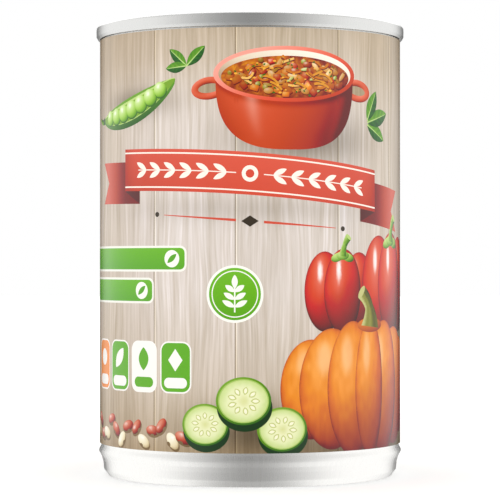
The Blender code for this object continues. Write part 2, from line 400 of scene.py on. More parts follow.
def tab_section():
    """The closed section from the hole to the outer edge: two round curls joined by a thin web.

    For each point it gives the lean and the rise in curl radii, and the share of the way between the curls.
    """
    meet = math.asin(TAB_WEB / TAB_CURL)
    curl = np.linspace(meet - math.pi, math.pi - meet, 18)
    web = np.linspace(0.0, 1.0, 16)[1:-1]
    across, face = math.cos(meet) * (2.0 * web - 1.0), np.full_like(web, math.sin(meet))
    lean = [np.cos(curl), across, -np.cos(curl), -across]
    rise = [np.sin(curl), face, -np.sin(curl), -face]
    share = [np.ones_like(curl), 1.0 - web, np.zeros_like(curl), web]
    return np.concatenate(lean), np.concatenate(rise), np.concatenate(share)


def carved(piece, cutter):
    """The piece less the cutter, as a mesh with nothing left to evaluate."""
    cut = piece.modifiers.new("slot", "BOOLEAN")
    cut.operation = "DIFFERENCE"
    cut.solver = "EXACT"
    cut.object = cutter
    bpy.context.view_layer.update()
    mesh = bpy.data.meshes.new_from_object(piece.evaluated_get(bpy.context.evaluated_depsgraph_get()))
    piece.modifiers.clear()
    piece.data = mesh
    bpy.data.objects.remove(cutter)
    mesh.shade_smooth()
    mesh.set_sharp_from_angle(angle=SHARP_ANGLE)
    return piece


def tongue_slot(material):
    """The upright cutter of the C-shaped slot round the rivet, open towards the tab's nose."""
    angle = np.linspace(-0.5 * math.pi - SLOT_SWEEP, -0.5 * math.pi + SLOT_SWEEP, 48)
    outline = band_outline(polar(SLOT_RADIUS, angle) + (0.0, RIVET_Y), SLOT_HALF_WIDTH)
    count = len(outline)
    low, high = TAB_Z - 3.0 * TAB_CURL, TAB_Z + 3.0 * TAB_CURL
    points = np.concatenate([np.column_stack([outline, np.full(count, z)]) for z in (low, high)])
    sides = [(k, k + count, (k + 1) % count + count, (k + 1) % count) for k in range(count)]
    caps = [tuple(range(count)), tuple(range(2 * count - 1, count - 1, -1))]
    return mesh_piece("tongue_slot", points, sides + caps, material)


def ring_pull(material):
    """The section carried round the tab from the hole to the outer edge, with the rivet's tongue cut free.

    A low ridge stands on the web: a bell curve across the edge of an oval round the rivet.
    """
    angle = TURN * np.arange(TAB_STEPS) / TAB_STEPS
    hole, edge = tab_loop(angle)
    width = np.linalg.norm(edge - hole, axis=1)
    curl = np.minimum(TAB_CURL, 0.25 * width)[:, None]
    lean, rise, share = tab_section()
    reach = (curl * (1.0 + lean) + share * (width[:, None] - 2.0 * curl)) / width[:, None]
    x, y = (hole[:, None] + (edge - hole)[:, None] * reach[:, :, None]).transpose(2, 0, 1)
    z = TAB_Z + curl * rise
    web = (np.abs(rise) < 0.5) & (share > 0.0) & (share < 1.0)
    ridge = np.hypot(x / RIDGE_HALF[0], (y - RIVET_Y + TAB_MIDDLE_Y + RIDGE_BACK) / RIDGE_HALF[1])
    z += np.where(web, RIDGE_HEIGHT * bell(ridge - 1.0, 0.1), 0.0)
    points = np.stack([x, y + TAB_MIDDLE_Y, z], 2).reshape(-1, 3)
    rows, columns = x.shape
    row, column = np.mgrid[0:rows, 0:columns]
    here, on, beside = row * columns, (row + 1) % rows * columns, (column + 1) % columns
    quads = np.stack([here + column, on + column, on + beside, here + beside], 2)
    tab = mesh_piece("ring_pull", points, quads.reshape(-1, 4).tolist(), material)
    return carved(tab, tongue_slot(material))


def rivet_profile():
    """A flattened round head with a shallow dimple, on a shank that goes down into the panel."""
    head = TAB_Z + TAB_WEB
    corners = [
        (0.0, PANEL_Z - 0.3, 0.0),
        (1.7, PANEL_Z - 0.3, 0.0),
        (1.7, head, 0.0),
        (2.75, head, 0.1),
        (2.75, head + 0.75, 0.45),
        (1.5, head + 0.75, 0.4),
        (1.1, head + 0.45, 0.4),
        (0.0, head + 0.45, 0.0),
    ]
    return rounded_path(corners, 0.2)


def build_metal():
    """The body's lines run round it, in UV millimetres. The end's and the tab's run one way, in metres."""
    drawn = metal_material("drawn_tinplate", "f0efec", 0.27, (1.4, 40.0, 1.0), "UV", 0.03)
    rolled = metal_material("rolled_tinplate", "dadad8", 0.27, (0.012, 0.0003, 0.01), "Object", 0.07)
    steel = metal_material("pressed_tab_steel", "d6d6d3", 0.24, (0.0003, 0.012, 0.01), "Object", 0.12)
    settle(turned("drawn_body", body_profile(), drawn, 320), "tinplate", "can_body")
    settle(turned("seamed_end", end_profile(), rolled, 320, panel_relief), "tinplate", "top_end")
    settle(turned("end_rivet", rivet_profile(), rolled, 64, None, RIVET_Y), "tinplate", "top_end")
    settle(ring_pull(steel), "tab_steel", "pull_tab")


# The label's print. A shape is a closed outline on the sheet, a paint that is a hex colour or a function of
# u and v, the spacing of the lattice inside it, and how much of the boards' grain shows in it.
Shape = namedtuple("Shape", "outline paint spacing wood", defaults=(FINE, 0.0))


def polar(reach, angle):
    """Points that far from the origin, at angles in radians."""
    return np.stack([reach * np.cos(angle), reach * np.sin(angle)], -1)


def turned_about(points, centre, turn):
    """Points turned anticlockwise by turn degrees and moved to the centre."""
    cos, sin = math.cos(math.radians(turn)), math.sin(math.radians(turn))
    return points @ np.array([[cos, sin], [-sin, cos]]) + np.asarray(centre, float)


def from_centre(u, v, centre, half, turn=0.0):
    """Places seen from an oval's centre, along its own axes and in its half sizes."""
    return turned_about(np.stack([u, v], 1) - centre, (0.0, 0.0), -turn).T / np.broadcast_to(half, 2)[:, None]


FEWEST_SIDES, MOST_SIDES = 12, 160


def ellipse(centre, half, turn=0.0, spacing=0.5):
    """Closed oval: half sizes times (cos, sin), turned by turn degrees. One half size gives a disc."""
    half = np.broadcast_to(half, 2)
    count = int(np.clip(TURN * max(half) / spacing, FEWEST_SIDES, MOST_SIDES))
    return turned_about(half * polar(1.0, TURN * np.arange(count) / count), centre, turn)


def densified(points, spacing):
    """The closed outline with extra points, so that no side is longer than spacing."""
    parts = []
    for start, stop in zip(points, np.roll(points, -1, axis=0)):
        count = max(1, math.ceil(math.dist(start, stop) / spacing))
        parts.append(start + (stop - start) * (np.arange(count) / count)[:, None])
    return np.concatenate(parts)


def box(low, high, spacing=math.inf):
    """Closed rectangle between two opposite corners."""
    (left, bottom), (right, top) = low, high
    return densified(np.array([(left, bottom), (right, bottom), (right, top), (left, top)], float), spacing)


def diamond(centre, half, spacing):
    """Closed outline of a square on its corner, from its left corner by way of the bottom."""
    return densified(centre + np.array([(-1.0, 0.0), (0.0, -1.0), (1.0, 0.0), (0.0, 1.0)]) * half, spacing)


def rounded_box(low, high, radius, steps=6):
    """Closed rectangle whose corners are quarter circles of the given radius."""
    corner = polar(radius, 0.5 * math.pi * np.arange(steps + 1) / steps)
    spin = np.array([[0.0, 1.0], [-1.0, 0.0]])
    (left, bottom), (right, top) = low, high
    left, bottom, right, top = left + radius, bottom + radius, right - radius, top - radius
    parts = []
    for at in ((right, top), (left, top), (left, bottom), (right, bottom)):
        parts.append(corner + at)
        corner = corner @ spin
    return densified(np.concatenate(parts), 1.5)


def nested_boxes(low, high, layers, spacing=FINE):
    """Rounded boxes inside one another, from layers of (inset, corner radius, paint)."""
    low, high = np.array(low, float), np.array(high, float)
    for inset, radius, paint in layers:
        yield Shape(rounded_box(low + inset, high - inset, radius), paint, spacing)


def leaf_outline(base, tip, width, steps=14):
    """Pointed oval from base to tip: half the width times sin(pi t) to the power 0.8 on each side."""
    base, tip = np.asarray(base, float), np.asarray(tip, float)
    share = np.linspace(0.0, 1.0, steps + 1)[:, None]
    side = np.array([base[1] - tip[1], tip[0] - base[0]]) / math.dist(base, tip)
    bulge = 0.5 * width * np.sin(math.pi * share) ** 0.8 * side
    line = base + (tip - base) * share
    return np.concatenate([line + bulge, (line - bulge)[-2:0:-1]])


def band_outline(line, half_width):
    """Closed strip about an open line of points. half_width may be one number or one for each point."""
    direction = np.gradient(line, axis=0)
    direction /= np.linalg.norm(direction, axis=1)[:, None]
    side = np.stack([-direction[:, 1], direction[:, 0]], 1) * np.broadcast_to(half_width, len(line))[:, None]
    return np.concatenate([line + side, (line - side)[::-1]])


# How many pairs of a point and a side are held at once
MOST_PAIRS = 2_000_000


def inside(outline, points):
    """Which points lie inside the closed outline: a ray to the right crosses it an odd number of times."""
    found = np.zeros(len(points), bool)
    low, high = outline.min(0), outline.max(0)
    near = np.flatnonzero(((points >= low) & (points <= high)).all(1))
    for part in np.array_split(near, max(1, len(near) * len(outline) // MOST_PAIRS + 1)):
        x, y = points[part].T[:, :, None]
        (x0, y0), (x1, y1) = outline.T, np.roll(outline, -1, axis=0).T
        spans = (y0 <= y) != (y1 <= y)
        with np.errstate(divide="ignore", invalid="ignore"):
            crossing = x0 + (y - y0) * (x1 - x0) / (y1 - y0)
        found[part] = (spans & (x < crossing)).sum(1) % 2 == 1
    return found


def top_shape(shapes, points):
    """Number of the uppermost shape at each point, or -1 where there is none."""
    number = np.full(len(points), -1)
    for k, shape in enumerate(shapes):
        number[inside(shape.outline, points)] = k
    return number


def ramp(value, *codes):
    """Colour along evenly spaced sRGB stops, for values from 0 to 1, and the end stops beyond them."""
    stops = np.array([srgb(code) for code in codes])
    at = np.linspace(0.0, 1.0, len(stops))
    return np.stack([np.interp(value, at, channel) for channel in stops.T], axis=-1)


def mixed(colour, code, share, most=1.0):
    """The colour with a share, up to the most, of the hex colour over it."""
    return colour + (srgb(code) - colour) * np.clip(share, 0.0, most)[..., None]


def bell(value, width):
    """Bell curve: 1 at 0, and 1/e a width away from it."""
    return np.exp(-((value / width) ** 2))


NOISE_LATTICE = (61, 67)


def noise(u, v, cell, seed):
    """Smooth noise from -1 to 1: random values on a lattice of that cell size, blended by an S-curve."""
    table = np.random.default_rng(seed).uniform(-1.0, 1.0, NOISE_LATTICE)
    x, y = u / cell, v / cell
    i, j = np.floor(x).astype(int), np.floor(y).astype(int)
    a, b = soft_step(x - i), soft_step(y - j)

    def at(di, dj):
        return table[(i + di) % NOISE_LATTICE[0], (j + dj) % NOISE_LATTICE[1]]

    return (at(0, 0) * (1 - a) + at(1, 0) * a) * (1 - b) + (at(0, 1) * (1 - a) + at(1, 1) * a) * b


def sloped(centre, half, level, slope, *tones):
    """Paint of a flat slope: level picks the tone at the centre, and changes by slope over a half size."""
    return lambda u, v: ramp(level + np.dot(slope, from_centre(u, v, centre, half)), *tones)


# Where the pictures' light comes from, and where its white spot lies, in half sizes from the middle
LIGHT = np.array([-0.46, 0.58, 0.67])
SPOT = (-0.32, 0.42)


def rounded_form(centre, half, tones, turn=0.0, gloss=0.0, mottle=0.0, spot=SPOT, spot_size=0.2, crease=0.0):
    """Paint for the front of an egg-like body.

    Across the oval the surface leans as a ball's does. How far it faces the light picks a tone, from dark to
    light, and a white spot of gloss in a fainter halo lies where the light would mirror. crease darkens its
    edges, where it presses on what lies beside it.
    """

    def paint(u, v):
        x, y = from_centre(u, v, centre, half, turn)
        depth = np.sqrt(np.clip(1.0 - x * x - y * y, 0.0, 1.0))
        facing = turned_about(np.stack([x, y], 1), (0.0, 0.0), turn) @ LIGHT[:2] + depth * LIGHT[2]
        value = 0.18 + 0.82 * np.clip(0.35 + 0.65 * facing, 0.0, 1.0) - crease * (1.0 - depth) ** 2
        value += mottle * (noise(u, 0.3 * v, 0.6, 5) + noise(u, v, 2.3, 6))
        wide, tall = np.broadcast_to(spot_size, 2)
        away = np.hypot((x - spot[0]) / wide, (y - spot[1]) / tall)
        shine = 0.75 * soft_step(1.6 - away) + 0.25 * np.exp(-((0.35 * away) ** 2))
        return mixed(ramp(value, *tones), "ffffff", gloss * shine)

    return paint


PLANK_JOINTS = (-119, -104, -82, -65, -46.5, -24, -3.5, 21.5, 41, 62, 79, 97, 112)
PLANK_TONES = ("d7cec8", "ddd6d4", "d2c9c4", "dad1ce", "d5cbc5", "dbd2cd")
# Each joint's dark line and the lit edge beside it: where it starts from the joint, its width and its colour
JOINT_LINES = ((0.0, 0.22, "8d7d6a"), (0.22, 0.35, "eee5da"))
BLEED = 2.0

# Ovals of shade on the boards: centre, half sizes and strength
SHADOWS = (
    ((13, 80), (19, 7), 0.34),
    ((34, 9), (26, 6), 0.45),
    ((47, 34), (16, 9), 0.3),
    ((1, 13), (17, 7), 0.4),
    ((0, 64), (40, 4), 0.1),
    ((-30, 89), (13, 4), 0.28),
)
# Painted light on the boards up the can and round it, and how much more green and blue darken than red where
# it dims
LIGHT_UP = ((8, 12, 24, 45, 62, 86, 93, 99, 106), (0.81, 0.87, 0.95, 1.0, 1.01, 0.99, 0.96, 0.915, 0.89))
LIGHT_AROUND = ((-46, -38, -33, -27, 22, 32, 38, 60), (0.93, 0.955, 0.98, 1.0, 1.0, 0.95, 0.93, 0.96))
DIMMING_WARMTH = (1.0, 1.35, 2.1)
SHADOW_WARMTH = (1.0, 1.05, 1.15)


def soft_shadows(u, v):
    """Share of light left on the boards: each picture darkens an oval round its foot, most in its middle."""
    left = np.ones_like(u)
    for centre, half, strength in SHADOWS:
        left *= 1.0 - strength * np.exp(-1.6 * (from_centre(u, v, centre, half) ** 2).sum(0))
    return left


def plank_paint(code):
    """Paint of a board with painted light: brightest in the middle of the front, and warmer where the painted
    light dims.
    """

    def paint(u, v):
        painted_light = np.interp(v, *LIGHT_UP) * np.interp(u, *LIGHT_AROUND)
        return srgb(code) * painted_light[:, None] ** DIMMING_WARMTH * soft_shadows(u, v)[:, None] ** SHADOW_WARMTH

    return paint


def planks():
    """Upright boards with a thin dark joint between two, lit on its right side."""
    low, high = SHEET_LOW - BLEED, SHEET_HIGH + BLEED
    sides = (*PLANK_JOINTS, SHEET_RIGHT + 3.0)
    for k, (left, right) in enumerate(zip(sides, sides[1:])):
        board = plank_paint(PLANK_TONES[k % len(PLANK_TONES)])
        yield Shape(box((left, low), (right, high)), board, COARSE, 1.0)
        for start, width, code in JOINT_LINES:
            strip = box((left + start, low), (left + start + width, high), 2.0)
            yield Shape(strip, plank_paint(code), COARSE, 0.6)


ENAMEL = ("6b1f14", "ab422d", "cc583e", "e87e66")
ENAMEL_RIM = ("b23f2d", "e0604a", "f7a393")
LINING = ("a88b6f", "e3d3ba", "f8f0e2")
POT_HALF, POT_LEAN, POT_DEPTH = 17.0, 6.0, 14.0
HANDLE_HALF, HANDLE_BAR = (3.5, 1.85), 0.85


def pot(centre=(9.0, 95.0)):
    """An enamelled pot of soup with two loop handles, seen from a little above its rim.

    Its outline below the rim is half of a superellipse: the cosine and sine, each to a power below 1.
    """
    x, y = centre
    for side in (-1, 1):
        grip, turn = (x + side * (POT_HALF + 1.5), y - 3.3), -8 * side

        def bar_paint(u, v, grip=grip, turn=turn):
            """Across the handle's round bar the surface leans outwards and inwards as a tube does."""
            aside, up = from_centre(u, v, grip, HANDLE_HALF, turn)
            reach = np.hypot(aside, up)
            across = np.clip((reach - 1.0) * min(HANDLE_HALF) / HANDLE_BAR, -1.0, 1.0)
            leaning = across * (aside * LIGHT[0] + up * LIGHT[1]) / reach
            facing = leaning + np.sqrt(1.0 - across**2) * LIGHT[2]
            return ramp(0.25 + 0.75 * facing, *ENAMEL)

        yield Shape(ellipse(grip, (4.35, 2.6), turn), bar_paint)
        yield Shape(ellipse(grip, (2.65, 1.05), turn), plank_paint("b3a590"), FINE, 1.0)
    angle = np.linspace(math.pi, TURN, 90)
    sideways, down = np.sign(np.cos(angle)) * np.abs(np.cos(angle)) ** 0.72, np.abs(np.sin(angle)) ** 0.72
    belly = np.stack([x + POT_HALF * sideways, y - 1.24 * POT_DEPTH * down], 1)

    def body_paint(u, v):
        """A tone that falls to the right and below, a lit right edge, the rim's shadow and a white streak."""
        down = np.clip((y - v) / POT_DEPTH, 0.0, 1.3)
        across = (u - x) / (POT_HALF * (1.0 - 0.2 * np.clip(down, 0.0, 1.0) ** 2.4))
        below_rim = v - y + POT_LEAN * np.sqrt(np.clip(1.0 - across**2, 0.0, 1.0))
        lit = 0.74 - 0.36 * across - 0.5 * np.abs(across) ** 3 - 0.22 * down
        lit += 0.16 * bell(across - 0.8, 0.1) - 0.3 * bell(below_rim + 0.7, 0.9)
        streak = 0.5 * bell(across + 0.52, 0.09) * np.clip(1.1 - down, 0.0, 1.0)
        return mixed(ramp(lit, *ENAMEL), "ffe6dc", streak)

    half = np.array([POT_HALF, POT_LEAN])
    rim_paint = sloped(centre, half, 0.62, (-0.38, 0.25), *ENAMEL_RIM)
    lining_paint = sloped(centre, half, 0.5, (0.35, 0.4), *LINING)
    yield Shape(belly, body_paint)
    yield Shape(ellipse(centre, half + (0.5, 0.4)), rim_paint)
    yield Shape(ellipse(centre, half - (0.7, 0.5)), lining_paint)
    yield from soup(np.array([x, y - 0.7]), half - (1.3, 1.15))


GOLDEN_ANGLE = math.pi * (3.0 - math.sqrt(5.0))
BROTH = ("5a1f06", "94470b", "c27019", "e8a340")
SUNKEN_SHADE = "6e2c07"
PASTA_TONES = ("d9953f", "eebb6c", "c9772a")
PIECE_COUNT, STRAND_COUNT, FLECK_COUNT = 92, 22, 60
# What floats in the soup: half sizes in mm, tones from dark to light, gloss, and the form it is cut to
SOUP_PIECES = (
    ((1.25, 0.75), ("4a0f0a", "8e2a1c", "c95f45"), 0.8, "round"),
    ((0.65, 0.55), ("3c5a17", "6f9a34", "b4d26e"), 0.7, "round"),
    ((1.1, 0.68), ("8f4f1d", "d9a057", "f8dca0"), 0.6, "round"),
    ((0.95, 0.7), ("a84a0a", "e87a1e", "ffb55c"), 0.4, "dice"),
    ((0.85, 0.65), ("7e150c", "c93422", "f08468"), 0.6, "dice"),
    ((1.7, 0.62), ("9a5c1c", "dfa24c", "ffe0a0"), 0.5, "tube"),
    ((1.0, 0.35), ("6d8431", "a9bd5d", "dbe5a0"), 0.4, "round"),
    ((1.0, 0.7), ("a84a0a", "e87a1e", "ffb55c"), 0.4, "dice"),
)


def soup(centre, half):
    """The soup's surface: beans, peas, dice, short and thin pasta, herb flecks and drops of oil in broth.

    The pieces lie on a sunflower spiral with some scatter, half sunk to differing depths, and are painted
    from the far side of the pot to the near side.
    """

    def broth(u, v):
        x, y = from_centre(u, v, centre, half)
        value = 0.58 + 0.24 * noise(u, v, 1.3, 11) + 0.22 * noise(u, v, 0.5, 12)
        return ramp(value - 0.6 * np.clip(np.hypot(x, y) - 0.7, 0.0, 1.0) - 0.12 * x, *BROTH)

    def steeped(paint, sunk):
        return lambda u, v: mixed(paint(u, v), BROTH[1], sunk)

    yield Shape(ellipse(centre, half), broth)
    rng = np.random.default_rng(21)
    k = np.arange(PIECE_COUNT)
    places = centre + half * polar(0.95 * np.sqrt((k + 0.5) / PIECE_COUNT), GOLDEN_ANGLE * k)
    places += rng.uniform(-0.5, 0.5, (PIECE_COUNT, 2)) * (1.0, 0.5)
    for at in places[np.argsort(-places[:, 1])]:
        size, tones, gloss, form = SOUP_PIECES[rng.integers(len(SOUP_PIECES))]
        size = np.array(size) * rng.uniform(0.8, 1.15)
        turn, sunk = rng.uniform(-60.0, 60.0), rng.uniform(0.08, 0.72)
        if np.hypot(*((at - centre) / (half - 0.9 * size.max() * np.array([1.0, 0.9])))) > 1.0:
            continue
        outline = ellipse(at, size, turn, 0.35)
        if form == "dice":
            outline = turned_about(rounded_box(-size, size, 0.2, 2), at, turn)
        paint = rounded_form(at, size * 1.1, tones, turn, gloss, spot_size=0.3)
        yield Shape(outline + (0.1, -0.24), SUNKEN_SHADE)
        yield Shape(outline, steeped(paint, sunk))
        if form == "tube":
            end = turned_about(np.array([size[0] * 0.72, 0.0]), at, turn)
            yield Shape(ellipse(end, (size[1] * 0.42, size[1] * 0.72), turn, 0.3), "8a4a14")
    bow = np.linspace(-1.0, 1.0, 9)
    reach, angle = np.sqrt(rng.uniform(0.0, 1.0, STRAND_COUNT)), rng.uniform(0.0, TURN, STRAND_COUNT)
    for at in centre + (half - (2.2, 1.0)) * polar(reach, angle):
        line = np.stack([rng.uniform(1.0, 2.1) * bow, rng.uniform(-0.7, 0.7) * (1.0 - bow**2)], 1)
        line = turned_about(line, at, rng.uniform(-35.0, 35.0))
        yield Shape(band_outline(line + (0.08, -0.2), 0.26), SUNKEN_SHADE)
        yield Shape(band_outline(line, 0.25), PASTA_TONES[rng.integers(3)])
    for fleck in range(FLECK_COUNT):
        reach, angle = math.sqrt(rng.uniform(0.0, 0.8)), rng.uniform(0.0, TURN)
        at = centre + half * reach * polar(1.0, angle)
        if fleck % 2:
            tip = at + rng.uniform(-0.9, 0.9, 2) * (1.0, 0.6)
            yield Shape(leaf_outline(at, tip, 0.4, 5), "48701c")
        else:
            drop = rng.uniform(0.18, 0.4) * np.array([1.0, 0.6])
            yield Shape(ellipse(at, drop, 0.0, 0.3), "f0b04c")


CREAM = "fbeee2"
CORAL = "d5594a"
INK = "4a443d"
# The ribbon: its middle's height, half its width, its fall to the right, its arch and the arch's wave
RIBBON_HEIGHT = 70.6
RIBBON_HALF = 4.9
RIBBON_SLOPE = 0.072
RIBBON_ARCH, RIBBON_WAVE = 1.5, 80.0
# How far from the middle the front ends, its tails' folds and their tips lie, and how far the tails drop
RIBBON_REACH, RIBBON_FOLD, RIBBON_TAIL, RIBBON_DROP = 34.0, 28.5, 46.0, 3.0
RULE_HEIGHT = 61.2


def on_ribbon(u, up=0.0):
    """Places that far above the ribbon's middle: a gentle arch on a slope that falls to the right."""
    arch = RIBBON_ARCH * np.cos(math.pi * u / RIBBON_WAVE)
    return np.stack([u, RIBBON_HEIGHT - RIBBON_SLOPE * u + arch + up], -1)


def ribbon_strip(start, stop, low, high, drop=0.0):
    """Closed outline of the ribbon's stretch from u = start to stop, between two heights from its middle."""
    u = np.linspace(start, stop, max(3, int(abs(stop - start) / 0.9)))
    return np.concatenate([on_ribbon(u, low - drop), on_ribbon(u, high - drop)[::-1]])


def tail_paint(u, v):
    """Darkest where the ribbon folds back, and lighter towards its tips."""
    return ramp((np.abs(u) - RIBBON_REACH) / 9.0, "7d2c20", "b74a39", "cf5b48")


def front_paint(u, v):
    """A soft wave of light along the ribbon, lighter towards its top and darker where its ends turn away."""
    value = 0.62 + 0.2 * np.cos(u / 11.0) + 0.035 * (v - on_ribbon(u)[:, 1])
    return ramp(value - 0.45 * np.clip((np.abs(u) - 29.0) / 5.0, 0.0, 1.0) ** 2, "b03f2f", "ce5646", "db6453")


def ribbon():
    """A plain coral ribbon with cream piping, a row of small leaves, and tails folded back behind it."""
    for side in (-1, 1):
        strip = ribbon_strip(side * RIBBON_FOLD, side * RIBBON_TAIL, -RIBBON_HALF, RIBBON_HALF, RIBBON_DROP)
        notch = on_ribbon(side * RIBBON_TAIL, -RIBBON_DROP) - (side * 3.6, 0.0)
        yield Shape(np.insert(strip, len(strip) // 2, notch, axis=0), tail_paint)
        fold = [on_ribbon(side * RIBBON_REACH, -RIBBON_HALF), on_ribbon(side * RIBBON_FOLD, -RIBBON_HALF)]
        fold.append(fold[1] - (0.0, RIBBON_DROP))
        yield Shape(densified(np.array(fold), 0.8), "5f2018")
    front = ribbon_strip(-RIBBON_REACH, RIBBON_REACH, -RIBBON_HALF, RIBBON_HALF)
    yield Shape(front, front_paint)
    for low in (-RIBBON_HALF + 0.75, RIBBON_HALF - 1.1):
        yield Shape(ribbon_strip(-RIBBON_REACH, RIBBON_REACH, low, low + 0.35), CREAM)
    for k, side, up in product(range(1, 7), (-1, 1), (-1, 1)):
        u = side * (1.2 + 4.2 * k)
        leaf_shape = leaf_outline(on_ribbon(u, 0.15 * up), on_ribbon(u + side * 3.1, 1.75 * up), 1.25)
        yield Shape(leaf_shape, CREAM)
    for side in (-1, 1):
        yield Shape(ribbon_strip(side * 3.2, side * 29.0, -0.12, 0.12), CREAM)
    for radius, code in ((1.9, CREAM), (1.0, CORAL)):
        yield Shape(ellipse(on_ribbon(0.0), radius), code)


def rules():
    """Two thin rules that run out to dots, with a diamond between them, below the ribbon."""
    out = np.linspace(3.2, 21.0, 24)
    for side in (-1, 1):
        line = np.stack([side * out, RULE_HEIGHT - RIBBON_SLOPE * side * out], 1)
        yield Shape(band_outline(line, np.linspace(0.3, 0.08, 24)), "cf5b4b")
    yield Shape(diamond((0.0, RULE_HEIGHT), (2.0, 1.3), 0.6), INK)
    for side in (-1, 1):
        yield Shape(ellipse((side * 23.0, RULE_HEIGHT - side * 1.66), 0.6), INK)


def lobed_fruit(centre, lobes, tones, gloss, mottle=0.0, spot_size=0.2):
    """A ribbed fruit: upright ovals given as (offset, half width, half height), painted from back to front.

    Over all of them the fruit as a whole falls into its own shade to the right and below.
    """
    reach = max(abs(offset) + wide for offset, wide, _ in lobes)
    height = max(tall for _, _, tall in lobes)

    def shaded(lobe):
        def paint(u, v):
            x, y = from_centre(u, v, centre, (reach, height))
            return mixed(lobe(u, v), tones[0], 0.1 + 0.3 * x - 0.45 * y, 0.6)

        return paint

    for offset, *size in lobes:
        at = (centre[0] + offset, centre[1])
        lobe = rounded_form(at, size, tones, 0.0, gloss, mottle, (-0.25, 0.5), spot_size, 0.42)
        yield Shape(ellipse(at, size), shaded(lobe))


def stalk(points, widths, tones):
    """A stem along the curve that leaves the first of three points towards the second and ends at the third.

    It narrows or widens by the three half widths, is ribbed along its length, and ends in a paler cut.
    """
    first, bend, last = np.array(points, float)
    share = np.linspace(0.0, 1.0, 18)[:, None]
    line = first * (1 - share) ** 2 + 2 * bend * share * (1 - share) + last * share**2
    width = np.interp(share[:, 0], (0.0, 0.5, 1.0), widths)
    end_way = (last - bend) / np.linalg.norm(last - bend)

    def paint(u, v):
        at = np.abs(v[:, None] - line[:, 1]).argmin(1)
        across = (u - line[at, 0]) / width[at]
        return ramp(0.55 - 0.4 * across + 0.12 * np.cos(7.0 * across), *tones)

    turn = math.degrees(math.atan2(end_way[1], end_way[0])) - 90.0
    cut = ellipse(last, (widths[2] * 0.98, widths[2] * 0.42), turn, 0.4)
    return [Shape(band_outline(line, width), paint), Shape(cut, tones[-1])]


RED = ("4f0a06", "941b10", "c4311d", "dc573b")
ORANGE = ("702d05", "b7540d", "da751c", "f29b42")
STAIN = ("6e3206", "a9520e", "d67a1f")
GREEN = ("29430f", "4d7a22", "86b049", "c5dc86")
STEM = ("33541a", "5f8a30", "86b049", "b5cf7c")
WOODY_STEM = ("3f3d17", "6b6c30", "8f8f49", "c4c383")
POD = ("3a5f16", "5f9130", "93bd52")
PEA = ("3d6a16", "6ba02e", "9fca55", "cfe79a")
LEAF = ("2e5512", "4f8426", "86b54a")
RIND = ("2f5216", "4f7c26", "7fa845")
FLESH = ("d9dc9a", "eceec2", "e6ebba", "c8da8e")
KIDNEY_BEAN = ("3d0a07", "7c1d14", "b44632", "dd8a70")
WHITE_BEAN = ("a2875a", "e5d5ae", "fbf4dd")


def peppers():
    """Two sweet peppers, each of three lobes with long highlights and a green stalk."""
    for (x, y), size in (((23.0, 45.0), 0.8), ((42.0, 46.5), 1.0)):
        lobes = [(-6.2 * size, 6.6 * size, 11.6 * size), (6.4 * size, 6.6 * size, 11.4 * size)]
        lobes.append((0.2, 6.8 * size, 12.4 * size))
        yield from lobed_fruit((x, y), lobes, RED, 0.9, 0.02, (0.1, 0.22))
        top = y + 10.4 * size
        half = (2.3 * size, 1.25 * size)
        for lean in (-1.0, 1.0, 0.0):
            cap = (x + 1.9 * lean * size, top - 0.5 * abs(lean) * size)
            paint = rounded_form(cap, np.multiply(half, 1.1), GREEN)
            yield Shape(ellipse(cap, half, -18.0 * lean), paint)
        stem = [(x, top - 0.2), (x + 0.2, top + 3.2 * size), (x + 2.2 * size, top + 5.4 * size)]
        yield from stalk(stem, (1.35 * size, 0.85 * size, 1.2 * size), STEM)


def pumpkin(centre=(32.0, 22.5)):
    """A ribbed orange pumpkin with a short woody stalk."""
    x, y = centre
    lobes = [(side * 17.5, 7.5, 11.5) for side in (-1, 1)] + [(side * 12.0, 8.5, 14.0) for side in (-1, 1)]
    lobes += [(-5.8, 7.5, 15.6), (6.0, 7.5, 15.6), (0.1, 5.2, 16.2)]
    yield from lobed_fruit(centre, lobes, ORANGE, 0.3, 0.06, (0.2, 0.24))
    dip = (x + 0.2, y + 14.6)
    yield Shape(ellipse(dip, (4.6, 1.7)), rounded_form(dip, (5.0, 2.0), STAIN))
    stem = [(x + 0.2, y + 14.2), (x + 0.9, y + 19.5), (x - 3.0, y + 22.3)]
    yield from stalk(stem, (3.3, 1.5, 1.75), WOODY_STEM)


# The courgette slices: centre, half width, and turn of the seeds in degrees
SLICES = (((-10.5, 14.5), 5.6, 10.0), ((7.5, 13.5), 5.9, 35.0), ((-1.5, 20.0), 6.4, 0.0))
# A seed and its lit middle: how far it starts and ends from its centre, its width, its steps and its colour
SEED_LAYERS = ((0.17, 0.17, 0.2, 7, "c3ca7c"), (0.12, 0.13, 0.12, 6, "f4f3d4"))
SEED_COUNT = 9


def courgettes():
    """Slices, each with a dark green side below, then rind, a pale ring, flesh and a ring of nine seeds."""
    for centre, radius, turn in SLICES:
        half = np.array([radius, 0.86 * radius])

        def flesh(u, v, centre=centre, half=half):
            reach = np.hypot(*from_centre(u, v, centre, half))
            return ramp(reach / 0.87 + 0.05 * noise(u, v, 0.8, 9), *FLESH)

        yield Shape(ellipse(np.add(centre, (0.25, -1.5)), half), "2f4a16")
        yield Shape(ellipse(centre, half), rounded_form(centre, half * 1.3, RIND))
        yield Shape(ellipse(centre, half * 0.915), "a9c66a")
        yield Shape(ellipse(centre, half * 0.87), flesh)
        for k in range(SEED_COUNT):
            way = polar(1.0, math.radians(turn + 360.0 / SEED_COUNT * k))
            at = centre + 0.43 * half * way
            for back, on, wide, steps, code in SEED_LAYERS:
                seed = leaf_outline(at - back * half * way, at + on * half * way, wide * radius, steps)
                yield Shape(seed, code)


PEA_COUNT = 7


